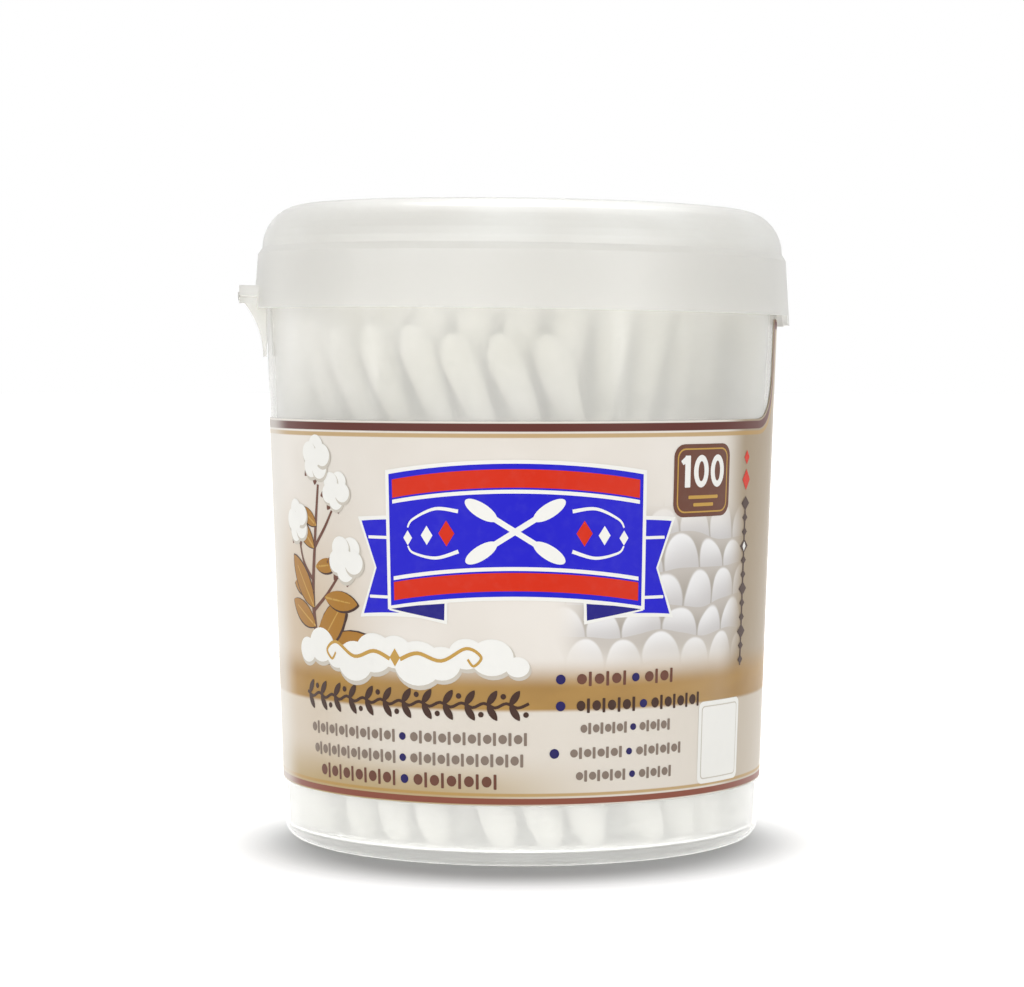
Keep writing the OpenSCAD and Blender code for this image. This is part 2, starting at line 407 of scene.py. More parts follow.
def new_material(name: str) -> tuple[Material, Bench, Node, Node]:
    """Starts a material.

    Args:
        name: Name of the material.

    Returns:
        The material, a bench on its tree, its Principled BSDF and its output node.
    """
    made = bpy.data.materials.new(name)
    made.use_nodes = True
    nodes = made.node_tree.nodes
    return made, Bench(made.node_tree), nodes["Principled BSDF"], nodes["Material Output"]


# Finishes


@dataclass(frozen=True)
class MilkyPlastic:
    """Natural polypropylene, through which shapes show blurred.

    Attributes:
        name: Name of the material.
        thin: Colour of the clearer places.
        dense: Colour of the denser places.
        clear: Share of the light that goes through.
        rough: Roughness between the marks.
        lets_light: How white the lamps' light is after each face it passes.
        low: Painted colour of the lower part, lighter or darker in place of light that falls there.
        painted_tone_from: Height up to which the painted lower part reaches, in metres.
        painted_tone_to: Height from which the upper part starts, in metres.
        wave: Depth of the waviness, in metres.
        ior: Index of refraction of the plastic.
        gloss: Strength of its mirror reflection.
        marked: How strong the handling marks are.
        cloud_rough: Roughness that the denser places add.
        mark_rough: Roughness that the marks add.
    """

    name: str
    thin: str
    dense: str
    clear: float
    rough: float
    lets_light: float
    low: str
    painted_tone_from: float
    painted_tone_to: float
    wave: float = 0.1 * MM
    ior: float = 1.49
    gloss: float = 0.4
    marked: float = 0.35
    cloud_rough: float = 0.04
    mark_rough: float = 0.1

    def make(self, effects: Effects) -> Material:
        """Builds the material.

        Args:
            effects: The shared node groups.

        Returns:
            The material.
        """
        made, bench, shader, output = new_material(self.name)
        spot = bench.place()
        flow = bench.use(effects.flow, Vector=spot, Cloud_Scale=55.0, Wave_Scale=70.0)
        marks = bench.use(effects.marks, Vector=spot, Amount=self.marked)["Marks"]
        # painted light and shade: the lower part takes its own colour, lighter or darker, in place of how light falls
        # there
        height = bench.axes(spot)[2].ramp(self.painted_tone_from, self.painted_tone_to)
        upper = bench.blend(flow["Cloud"], srgb(self.thin), srgb(self.dense))
        bench.feed(
            shader,
            Base_Color=bench.blend(height, srgb(self.low), upper),
            Roughness=flow["Cloud"] * self.cloud_rough + self.rough + marks * self.mark_rough,
            Normal=bench.bump(flow["Height"], self.wave),
            Transmission_Weight=self.clear,
            IOR=self.ior,
            Specular_IOR_Level=self.gloss,
        )
        bench.let_lamps_through(shader, output, self.lets_light)
        return made


@dataclass(frozen=True)
class WoundCotton:
    """Cotton wound on the end of a stick, matt and slightly fuzzy.

    Attributes:
        name: Name of the material.
        light: Colour of the fibres that lie on top.
        shade: Painted shade between them, where the fibres lie deeper.
        depth: Depth of the fibres, in metres.
    """

    name: str = "cotton"
    light: str = "fbfaf7"
    shade: str = "e9e6df"
    depth: float = 0.13 * MM

    def make(self) -> Material:
        """Builds the material, whose fibres follow the tips' own UV map.

        Returns:
            The material.
        """
        made, bench, shader, _ = new_material(self.name)
        around = bench.node("ShaderNodeUVMap").outputs[0]
        fibres = bench.grain(around, 6.0, 4.0, (3.0, 12.0, 1.0))
        fluff = bench.grain(bench.place(), 2600.0, 3.0)
        height = fibres * 0.8 + fluff * 0.2
        bench.feed(
            shader,
            # painted shade: the cotton is darker where its fibres lie deeper
            Base_Color=bench.blend(height.ramp(0.3, 0.6), srgb(self.shade), srgb(self.light)),
            Normal=bench.bump(height, self.depth),
            Roughness=1.0,
            Specular_IOR_Level=0.1,
            Sheen_Weight=0.35,
            Sheen_Roughness=0.6,
        )
        return made


@dataclass(frozen=True)
class RolledPaper:
    """Tightly rolled white paper of the sticks.

    Attributes:
        name: Name of the material.
        light: Colour of the paper.
        shade: Colour of its thinner places.
        depth: Depth of its grain, in metres.
    """

    name: str = "stick_paper"
    light: str = "f8f7f3"
    shade: str = "e8e5dd"
    depth: float = 0.04 * MM

    def make(self) -> Material:
        """Builds the material.

        Returns:
            The material.
        """
        made, bench, shader, _ = new_material(self.name)
        pulp = bench.grain(bench.place(), 900.0, 3.0, (1.0, 1.0, 0.3))
        bench.feed(
            shader,
            Base_Color=bench.blend(pulp.ramp(0.3, 0.65), srgb(self.shade), srgb(self.light)),
            Normal=bench.bump(pulp, self.depth),
            Roughness=pulp * 0.2 + 0.6,
        )
        return made


@dataclass(frozen=True)
class Floor:
    """White ground that keeps the shadow of the tub, deepened by a painted shadow round its foot.

    Attributes:
        name: Name of the material.
        colour: Colour of the open ground.
        painted_shadow: Painted shadow colour of the ground round the tub's foot, seen only by the
        camera, which deepens the real shadow.
        ahead: How far in front of the tub's axis the shadow's middle lies, in metres.
        lift: Share of the glow that is reached just outside the shadow.
        painted_shadow_fade: Distances from the shadow's middle over which the painted shadow fades
        out, in metres.
        lift_at: Distances between which the first share of the glow comes in.
        white_at: Distances between which the rest comes in.
    """

    name: str = "white_ground"
    colour: str = "f4f4f3"
    painted_shadow: str = "b4b4b4"
    ahead: float = 10 * MM
    lift: float = 0.5
    painted_shadow_fade: Point = (25 * MM, 50 * MM)
    lift_at: Point = (26 * MM, 42 * MM)
    white_at: Point = (50 * MM, 300 * MM)

    def make(self) -> Material:
        """Builds the material, lifted to white where it is seen directly or in plastic.

        Returns:
            The material.
        """
        made, bench, shader, output = new_material(self.name)
        x, y, _ = bench.axes(bench.place())
        away = x.hypot(y + self.ahead)
        cloud = bench.grain(bench.place(), 4.0, 1.0) * 0.1
        direct, mirrored, through = bench.rays("Is Camera Ray", "Is Glossy Ray", "Is Transmission Ray")
        # painted shadow: for camera rays the ground is painted darker round the tub's foot, with a mottled edge
        outside_painted_shadow = (away.ramp(*self.painted_shadow_fade) - cloud).math("MAXIMUM", direct * -1.0 + 1.0)
        bench.feed(
            shader,
            Base_Color=bench.blend(outside_painted_shadow, srgb(self.painted_shadow), srgb(self.colour)),
            Roughness=0.9,
            Specular_IOR_Level=0.0,
        )
        bare = away.ramp(*self.lift_at) * self.lift + away.ramp(*self.white_at) * (1.0 - self.lift)
        strength = direct * bare + (mirrored + through).math("MINIMUM", 1.0)
        glow = bench.node("ShaderNodeEmission", Color=(1.0, 1.0, 1.0, 1.0), Strength=strength)
        bench.join("ShaderNodeAddShader", (shader, glow), output)
        return made


# Shapes shared by the pieces


@dataclass(frozen=True)
class Wall:
    """The tub's side wall and the label on it, as in the solid model, in metres.

    Attributes:
        foot_r: Outer radius, carried down to the foot.
        taper: Slope of the wall from upright, in radians.
        label_fit: Gap between the wall and the label.
        label_t: Thickness of the label.
        unroll_r: Radius at which the label is unrolled for drawing.
    """

    foot_r: float = 33 * MM
    taper: float = math.radians(2.05)
    label_fit: float = 0.02 * MM
    label_t: float = 0.1 * MM
    unroll_r: float = UNROLL_MM * MM

    def radius(self, z: float) -> float:
        """Outer radius of the wall at height z."""
        return self.foot_r + z * math.tan(self.taper)

    def on_label(self, s: float, z: float, proud: float) -> Vector:
        """Point on the label from its unrolled place.

        Args:
            s: Distance round from the front, to the right, in metres.
            z: Height in metres.
            proud: Height over the label's face in metres.

        Returns:
            The point in the row frame.
        """
        r = self.radius(z) + self.label_fit + self.label_t + proud
        a = s / self.unroll_r
        return Vector((r * math.sin(a), -r * math.cos(a), z))


def finish_mesh(
    bm: BMesh, name: str, material: Material, smooth: bool = True
) -> Object:
    """Turns a bmesh into an object at the origin.

    Args:
        bm: The mesh, which is freed.
        name: Name of the piece.
        material: Its finish.
        smooth: Whether the faces are shaded smooth.

    Returns:
        The new object, linked to the scene.
    """
    mesh = bpy.data.meshes.new(name)
    for face in bm.faces:
        face.smooth = smooth
    bm.to_mesh(mesh)
    bm.free()
    mesh.materials.append(material)
    made = bpy.data.objects.new(name, mesh)
    bpy.context.scene.collection.objects.link(made)
    LOG.info("%s: %d faces", name, len(mesh.polygons))
    return made


def turn_profile(
    bm: BMesh, profile: Sequence[Point], steps: int
) -> list[Vert]:
    """Spins a profile round the z axis into a surface.

    Args:
        bm: The mesh that takes it.
        profile: Radius and height of each point.
        steps: Faces round the axis.

    Returns:
        The verts of the profile.
    """
    first = [bm.verts.new((r, 0.0, h)) for r, h in profile]
    edges = [bm.edges.new(pair) for pair in zip(first, first[1:])]
    bmesh.ops.spin(
        bm,
        geom=first + edges,
        cent=(0, 0, 0),
        axis=(0, 0, 1),
        angle=math.tau,
        steps=steps,
        use_merge=True,
        use_duplicate=False,
    )
    return first


def island(start: Vert) -> list[Vert]:
    """Finds the verts that edges join to one vert.

    Args:
        start: The vert.

    Returns:
        The verts of its island, itself first.
    """
    found, seen = [start], {start}
    for vert in found:
        for edge in vert.link_edges:
            other = edge.other_vert(vert)
            if other not in seen:
                seen.add(other)
                found.append(other)
    return found


def dress(node: Object, material: Material) -> None:
    """Gives a solid of the frame its finish.

    Args:
        node: The solid.
        material: The finish.
    """
    if not node.material_slots:
        node.data.materials.append(material)
    for slot in node.material_slots:
        slot.material = material
    LOG.info("%s: finish %s", node.name, material.name)


# Hinge film and moulding marks


@dataclass(frozen=True)
class HingeFilm:
    """Thin film that joins the lid's ear to the tub's shelf.

    Attributes:
        line_x: Place of the hinge line.
        line_z: Height of the hinge line.
        width: Width of the film.
        reach: How far it runs over the shelf and the ear.
        thick: Its thickness.
        bulge: How far its middle stands out.
        bend: Half the height over which it bends; not used.
    """

    line_x: float = -38.708 * MM
    line_z: float = 74.8 * MM
    width: float = 17.4 * MM
    reach: float = 0.55 * MM
    thick: float = 0.12 * MM
    bulge: float = 0.02 * MM
    bend: float = 0.35 * MM

    def build(self, material: Material) -> Object:
        """Makes the film at the hinge line.

        Args:
            material: The lid's plastic.

        Returns:
            The film.
        """
        bm = bmesh.new()
        verts = bmesh.ops.create_grid(bm, x_segments=8, y_segments=10, size=1.0)["verts"]
        for vert in verts:
            across, along = vert.co.x, vert.co.y
            out = self.line_x - self.bulge * math.cos(math.pi * along / 2)
            vert.co = Vector((out, across * self.width / 2, self.line_z + along * self.reach))
        bmesh.ops.recalc_face_normals(bm, faces=bm.faces)
        bmesh.ops.solidify(bm, geom=list(bm.faces), thickness=self.thick)
        bmesh.ops.recalc_face_normals(bm, faces=bm.faces)
        film = finish_mesh(bm, "hinge_film", material)
        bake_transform(film)
        return film


@dataclass(frozen=True)
class GateMark:
    """Small nub that the moulding gate leaves in its dimple.

    Attributes:
        name: Name of the piece.
        body: Body that it rides on.
        slot: The record's slot of its plastic.
        centre: Where the dimple's face is.
        facing: Direction the dimple faces.
        outline: Radius and height of the nub's profile, in millimetres.
    """

    name: str
    body: str
    # slot: Name of its plastic; not used.
    slot: str
    centre: Place
    facing: Place
    outline: tuple[Point, ...] = (
        (1.5, -0.02), (1.35, 0.05), (0.8, 0.06), (0.62, 0.16), (0.35, 0.2), (0.0, 0.19)
    )

    def build(self, material: Material) -> Object:
        """Makes the nub.

        Args:
            material: The plastic that it is of.

        Returns:
            The nub.
        """
        bm = bmesh.new()
        turn_profile(bm, [(r * MM, h * MM) for r, h in self.outline], 32)
        bmesh.ops.remove_doubles(bm, verts=bm.verts, dist=1e-7)
        ring = [e for e in bm.edges if e.is_boundary]
        bmesh.ops.holes_fill(bm, edges=ring, sides=0)
        bmesh.ops.recalc_face_normals(bm, faces=bm.faces)
        turn = Vector(self.facing).to_track_quat("Z", "Y").to_matrix().to_4x4()
        bmesh.ops.transform(bm, matrix=Matrix.Translation(self.centre) @ turn, verts=bm.verts)
        nub = finish_mesh(bm, self.name, material)
        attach(nub, self.body)
        return nub


# Swabs


@dataclass
class CottonTips:
    """The wound cotton at both ends of every swab.

    Attributes:
        rings: How many rings of swabs stand in the tub.
        radius: Largest radius of a tip.
        length: Length of a tip.
        nose: Length of its rounded nose.
        cap: Cotton past the end of the stick.
        neck: Radius where the cotton thins out.
        stick: Radius of a stick.
        steps: Faces round a tip.
        golden_turn: Angle between one tip's start and the next one's, in radians.
        slant: Turns by which the fibres slant over a tip.
        lumps: Lumps of the cotton in a metre, round a tip.
        lump: How far a lump swells the tip, as a share of its radius.
        ridge: How far the winding swells it.
        thinner: How much thinner than the solid the cotton starts, so that it stays inside.
        fading: Length at the neck over which the unevenness fades.
    """

    rings: int = 6
    radius: float = 2.4 * MM
    length: float = 15 * MM
    nose: float = 4.2 * MM
    cap: float = 1.2 * MM
    neck: float = 1.52 * MM
    stick: float = 1.21 * MM
    steps: int = 12
    golden_turn: float = 2.399
    slant: float = 0.6
    lumps: float = 520.0
    lump: float = 0.026
    ridge: float = 0.01
    thinner: float = 0.038
    fading: float = 3 * MM

    def profile(self) -> list[Point]:
        """Works out the outline of a tip.

        Returns:
            Radius and distance from the nose, from the nose to the neck.
        """
        nose = [(self.radius * math.sin(a), self.nose * (1 - math.cos(a))) for a in np.radians((0, 26, 52, 78, 90))]
        body = self.length - self.nose
        cone = [
            (self.neck + (self.radius - self.neck) * (1 + math.cos(math.pi * t)) / 2, self.nose + body * t)
            for t in (0.3, 0.6, 1.0)
        ]
        return nose + cone + [(self.stick, self.length)]

    def add_tip(self, bm: BMesh, at: Vector, way: Vector, seed: int) -> None:
        """Adds one tip.

        Args:
            bm: The mesh that takes it.
            at: The end of the nose.
            way: Unit direction from the nose along the stick.
            seed: Number that its small irregularities follow.
        """
        first = turn_profile(bm, self.profile(), self.steps)
        pole = [v for v in island(first[0]) if math.hypot(v.co.x, v.co.y) < 1e-7]
        bmesh.ops.remove_doubles(bm, verts=pole, dist=1e-6)
        verts = island(first[1])
        self._unroll(bm, verts, seed)
        for vert in verts:
            vert.co = self._uneven(vert.co, seed)
        turn = way.to_track_quat("Z", "Y").to_matrix().to_4x4()
        spun = Matrix.Rotation(seed * self.golden_turn, 4, "Z")
        bmesh.ops.transform(bm, matrix=Matrix.Translation(at) @ turn @ spun, verts=verts)

    def _unroll(self, bm: BMesh, verts: Sequence[Vert], seed: int) -> None:
        """Gives one tip its UV map, slanted as the fibres are wound.

        Args:
            bm: The mesh that holds it.
            verts: Its verts.
            seed: Number that sets where the map starts.
        """
        uv = bm.loops.layers.uv.verify()
        for face in {f for v in verts for f in v.link_faces}:
            angles = [math.atan2(l.vert.co.y, l.vert.co.x) / math.tau % 1.0 for l in face.loops]
            wrap = max(angles) - min(angles) > 0.5
            for loop, a in zip(face.loops, angles):
                h = loop.vert.co.z / self.length
                a = a + 1 if wrap and a < 0.5 else a
                loop[uv].uv = (a + self.slant * h + seed * 0.37 % 1.0, h)

    def _uneven(self, p: Vector, seed: int) -> Vector:
        """Moves a point of a tip in or out a little, never past the solid's own surface.

        Args:
            p: The point.
            seed: Number of the tip.

        Returns:
            The moved point.
        """
        lump = noise.noise(Vector((p.x * self.lumps, p.y * self.lumps, p.z * self.lumps / 2 + seed * 3.7)))
        wind = math.sin(math.atan2(p.y, p.x) * 2 + p.z * 900 + seed)
        fade = eased((self.length - p.z) / self.fading)
        swell = 1 + fade * (self.lump * lump - self.thinner + self.ridge * wind)
        return Vector((p.x * swell, p.y * swell, p.z))

    @staticmethod
    def stick_ends(node: Object) -> list[tuple[Vector, Vector]]:
        """Reads where the sticks of one ring stand.

        Args:
            node: The solid of the ring's sticks.

        Returns:
            The lower and upper end of each stick's axis.
        """
        bm = bmesh.new()
        bm.from_mesh(node.data)
        bmesh.ops.remove_doubles(bm, verts=bm.verts, dist=1e-6)
        seen: set[Vert] = set()
        found = []
        for start in bm.verts:
            if start not in seen:
                verts = island(start)
                seen.update(verts)
                points = np.array([v.co for v in verts])
                middle = points[:, 2].mean()
                low, high = points[points[:, 2] < middle].mean(0), points[points[:, 2] > middle].mean(0)
                found.append((Vector(low), Vector(high)))
        bm.free()
        return sorted(found, key=lambda ends: math.atan2(ends[0].y, ends[0].x))

    def build(self, frame: dict, material: Material) -> list[Object]:
        """Makes the tips of every ring.

        Args:
            frame: The loaded frame.
            material: The cotton.

        Returns:
            One piece for each ring.
        """
        pieces = []
        for ring in range(1, self.rings + 1):
            bm = bmesh.new()
            for i, (low, high) in enumerate(self.stick_ends(frame["nodes"][f"sticks_ring_{ring}"])):
                way = (high - low).normalized()
                self.add_tip(bm, low - way * self.cap, way, ring * 100 + 2 * i)
                self.add_tip(bm, high + way * self.cap, -way, ring * 100 + 2 * i + 1)
            bmesh.ops.recalc_face_normals(bm, faces=bm.faces)
            piece = finish_mesh(bm, f"cotton_ring_{ring}", material)
            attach(piece, "tub")
            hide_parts(f"tips_ring_{ring}")
            pieces.append(piece)
        return pieces


# Printing on the label


class Ink(Enum):
    """Inks of the printing, each with its colour."""

    BLUE = "1d17c8"
    NAVY = "17127a"
    RED = "d42a06"
    WHITE = "f3f2ed"
    GOLD = "c49b4e"
    OCHRE = "a8762c"
    BROWN = "6b4436"
    UMBER = "40291f"
    TAUPE = "86776b"
    SHADE = "cdc6ba"
    SLATE = "211a58"


@dataclass(frozen=True)
class PrintedInk:
    """Finish of one ink: its colour with faint mottle under a satin film.

    Attributes:
        ink: The ink.
    """

    ink: Ink

    def make(self, effects: Effects) -> Material:
        """Builds the material.

        Args:
            effects: The shared node groups.

        Returns:
            The material.
        """
        made, bench, shader, _ = new_material(f"ink_{self.ink.name.lower()}")
        spot = bench.place()
        full = srgb(self.ink.value)
        worn = tuple(c * 0.88 + 0.05 for c in full[:3]) + (1.0,)
        mottle = bench.grain(spot, 700.0, 3.0).ramp(0.42, 0.8) * 0.2
        marks = bench.use(effects.marks, Vector=spot, Amount=0.5)["Marks"]
        bench.feed(
            shader,
            Base_Color=bench.blend(mottle, full, worn),
            Roughness=marks * PRINT_RUB + PRINT_ROUGH,
            Specular_IOR_Level=PRINT_GLOSS,
        )
        return made


def rounded_path(points: Sequence[Point], steps: int = 8) -> list[Point]:
    """Smooth path through points.

    Args:
        points: The points, at least two.
        steps: Parts between one point and the next.

    Returns:
        The points of the smooth path.
    """
    ends = [points[0], *points, points[-1]]
    path = []
    for a, b, c, d in zip(ends, ends[1:], ends[2:], ends[3:]):
        for i in range(steps):
            t = i / steps
            path.append(
                tuple(
                    0.5 * (2 * q + (r - p) * t + (2 * p - 5 * q + 4 * r - w) * t * t + (3 * q - p - 3 * r + w) * t**3)
                    for p, q, r, w in zip(a, b, c, d)
                )
            )
    return path + [tuple(points[-1])]


class InkSheet:
    """Flat shapes of one ink on the unrolled label, in millimetres.

    The first coordinate runs round the tub to the right from the front, the second is the height,
    and the third is the order of printing, counted in layers.

    Attributes:
        layer_mm: Height of one layer over the one before.
        clear_mm: Height of the first layer over the label.
        strip_mm: Width of the strips that follow the label's curve.
    """

    layer_mm = 0.008
    clear_mm = 0.012
    strip_mm = 0.5

    def __init__(self) -> None:
        """Starts with no shape."""
        self.bm = bmesh.new()

    def _put(self, verts: Sequence[Vert], at: Point, turn: float, layer: float) -> None:
        """Turns verts about the origin, in degrees, and moves them to their place and layer."""
        to = Matrix.Translation((at[0], at[1], layer * self.layer_mm)) @ Matrix.Rotation(math.radians(turn), 4, "Z")
        bmesh.ops.transform(self.bm, matrix=to, verts=list(verts))

    def disc(
        self, at: Point, width: float, height: float, layer: float, turn: float = 0.0, steps: int = 28
    ) -> None:
        """Adds an ellipse.

        Args:
            at: Its centre.
            width: Its width before it is turned.
            height: Its height before it is turned.
            layer: Its place in the order of printing.
            turn: Degrees it is turned.
            steps: Sides of its outline.
        """
        verts = bmesh.ops.create_circle(self.bm, cap_ends=True, radius=0.5, segments=steps)["verts"]
        bmesh.ops.scale(self.bm, vec=(width, height, 1), verts=verts)
        self._put(verts, at, turn, layer)

    def leaf(self, at: Point, length: float, width: float, layer: float, turn: float) -> None:
        """Adds a leaf that starts at a point, pointed at both ends.

        Args:
            at: Its stalk end.
            length: Its length.
            width: Its width.
            layer: Its place in the order of printing.
            turn: Direction it grows in, in degrees from the right.
        """
        verts = bmesh.ops.create_circle(self.bm, cap_ends=True, radius=1.0, segments=24)["verts"]
        for vert in verts:
            full = abs(vert.co.y) ** 0.6
            vert.co = Vector(((vert.co.x + 1) * length / 2, vert.co.y * full * width / 2, 0))
        self._put(verts, at, turn, layer)

    def ring(self, at: Point, width: float, height: float, band: float, layer: float) -> None:
        """Adds an upright oval ring.

        Args:
            at: Its centre.
            width: Its width.
            height: Its height.
            band: Width of its band, measured inwards.
            layer: Its place in the order of printing.
        """
        loops = []
        for inset in (0.0, band):
            made = bmesh.ops.create_circle(self.bm, cap_ends=False, radius=0.5, segments=28)["verts"]
            bmesh.ops.scale(self.bm, vec=(width - 2 * inset, height - 2 * inset, 1), verts=made)
            self._put(made, at, 0.0, layer)
            loops.append(made)
        edges = {e for verts in loops for v in verts for e in v.link_edges}
        bmesh.ops.bridge_loops(self.bm, edges=list(edges))

    def bar(
        self, at: Point, width: float, height: float, corner: float, layer: float, turn: float = 0.0
    ) -> None:
        """Adds a rectangle with rounded corners.

        Args:
            at: Its centre.
            width: Its width before it is turned.
            height: Its height before it is turned.
            corner: Radius of its corners, or 0 for sharp ones.
            layer: Its place in the order of printing.
            turn: Degrees it is turned.
        """
        verts = bmesh.ops.create_circle(self.bm, cap_ends=True, radius=math.sqrt(0.5), segments=4)["verts"]
        bmesh.ops.rotate(self.bm, matrix=Matrix.Rotation(math.pi / 4, 3, "Z"), verts=verts)
        bmesh.ops.scale(self.bm, vec=(width, height, 1), verts=verts)
        if corner:
            verts = bmesh.ops.bevel(
                self.bm,
                geom=verts,
                offset=corner,
                offset_type="OFFSET",
                affect="VERTICES",
                segments=5,
                profile=0.5,
                material=-1,
            )["verts"]
        self._put(verts, at, turn, layer)

    def gem(self, at: Point, width: float, height: float, layer: float) -> None:
        """Adds a small upright lozenge."""
        self.disc(at, width, height, layer, steps=4)

    def stroke(self, path: Sequence[Point], widths: Point, layer: float) -> None:
        """Adds a line that follows a path.

        Args:
            path: Its points.
            widths: Its width at the start and at the end.
            layer: Its place in the order of printing.
        """
        points = [Vector((*p, layer * self.layer_mm)) for p in path]
        edge, last = None, []
        for i, point in enumerate(points):
            way = (points[min(i + 1, len(points) - 1)] - points[max(i - 1, 0)]).normalized()
            half = Vector((-way.y, way.x, 0)) * (widths[0] + (widths[1] - widths[0]) * i / (len(points) - 1)) / 2
            if edge is None:
                last = [self.bm.verts.new(point + half), self.bm.verts.new(point - half)]
                edge = self.bm.edges.new(last)
                continue
            grown = bmesh.ops.extrude_edge_only(self.bm, edges=[edge])["geom"]
            fresh = [g for g in grown if isinstance(g, Vert)]
            fresh.sort(key=lambda v: (v.co - last[0].co).length)
            edge = next(g for g in grown if isinstance(g, bmesh.types.BMEdge) and set(g.verts) == set(fresh))
            fresh[0].co, fresh[1].co = point + half, point - half
            last = fresh

    def sash(
        self, at: Point, width: float, height: float, arch: float, layer: float, notch: float = 0.0
    ) -> None:
        """Adds a band that arches upwards in its middle.

        Args:
            at: The middle of a straight band in its place.
            width: Its width.
            height: Its height.
            arch: How much higher the middle lies than the ends.
            layer: Its place in the order of printing.
            notch: Depth of a swallow tail at the left end, or at the right end where it is negative.
        """
        verts = bmesh.ops.create_grid(self.bm, x_segments=24, y_segments=2, size=1.0)["verts"]
        for vert in verts:
            u, v = vert.co.x, vert.co.y
            end = -1 if notch > 0 else 1
            x = u * width / 2 + notch * (1 - abs(v)) * (1 + u * end) / 2
            vert.co = Vector((x, v * height / 2 + arch * (1 - u * u), 0))
        self._put(verts, at, 0.0, layer)

    def wrap(self, wall: Wall, name: str, material: Material) -> Object:
        """Cuts the shapes into narrow strips and lays them on the label.

        Args:
            wall: The wall that carries the label.
            name: Name of the piece.
            material: Its finish.

        Returns:
            The printed piece.
        """
        bm = self.bm
        bmesh.ops.triangulate(bm, faces=[f for f in bm.faces if len(f.verts) > 4])
        step = self.strip_mm
        starts: dict[int, list[Face]] = {}
        for face in bm.faces:
            starts.setdefault(math.floor(min(v.co.x for v in face.verts) / step), []).append(face)
        wide: list[Face] = []
        for k in range(min(starts) + 1, math.ceil(max(v.co.x for v in bm.verts) / step) + 1):
            line = k * step
            wide = [f for f in wide + starts.get(k - 1, []) if max(v.co.x for v in f.verts) > line + 1e-4]
            geom = list({g for f in wide for g in (*f.verts, *f.edges, f)})
            if geom:
                cut = bmesh.ops.bisect_plane(bm, geom=geom, dist=1e-5, plane_co=(line, 0, 0), plane_no=(1, 0, 0))
                wide = [g for g in cut["geom"] if isinstance(g, Face)]
        for vert in bm.verts:
            vert.co = wall.on_label(vert.co.x * MM, vert.co.y * MM, (self.clear_mm + vert.co.z) * MM)
        bmesh.ops.recalc_face_normals(bm, faces=bm.faces)
        for face in bm.faces:
            middle = face.calc_center_median()
            if face.normal.x * middle.x + face.normal.y * middle.y < 0:
                face.normal_flip()
        return finish_mesh(bm, name, material)


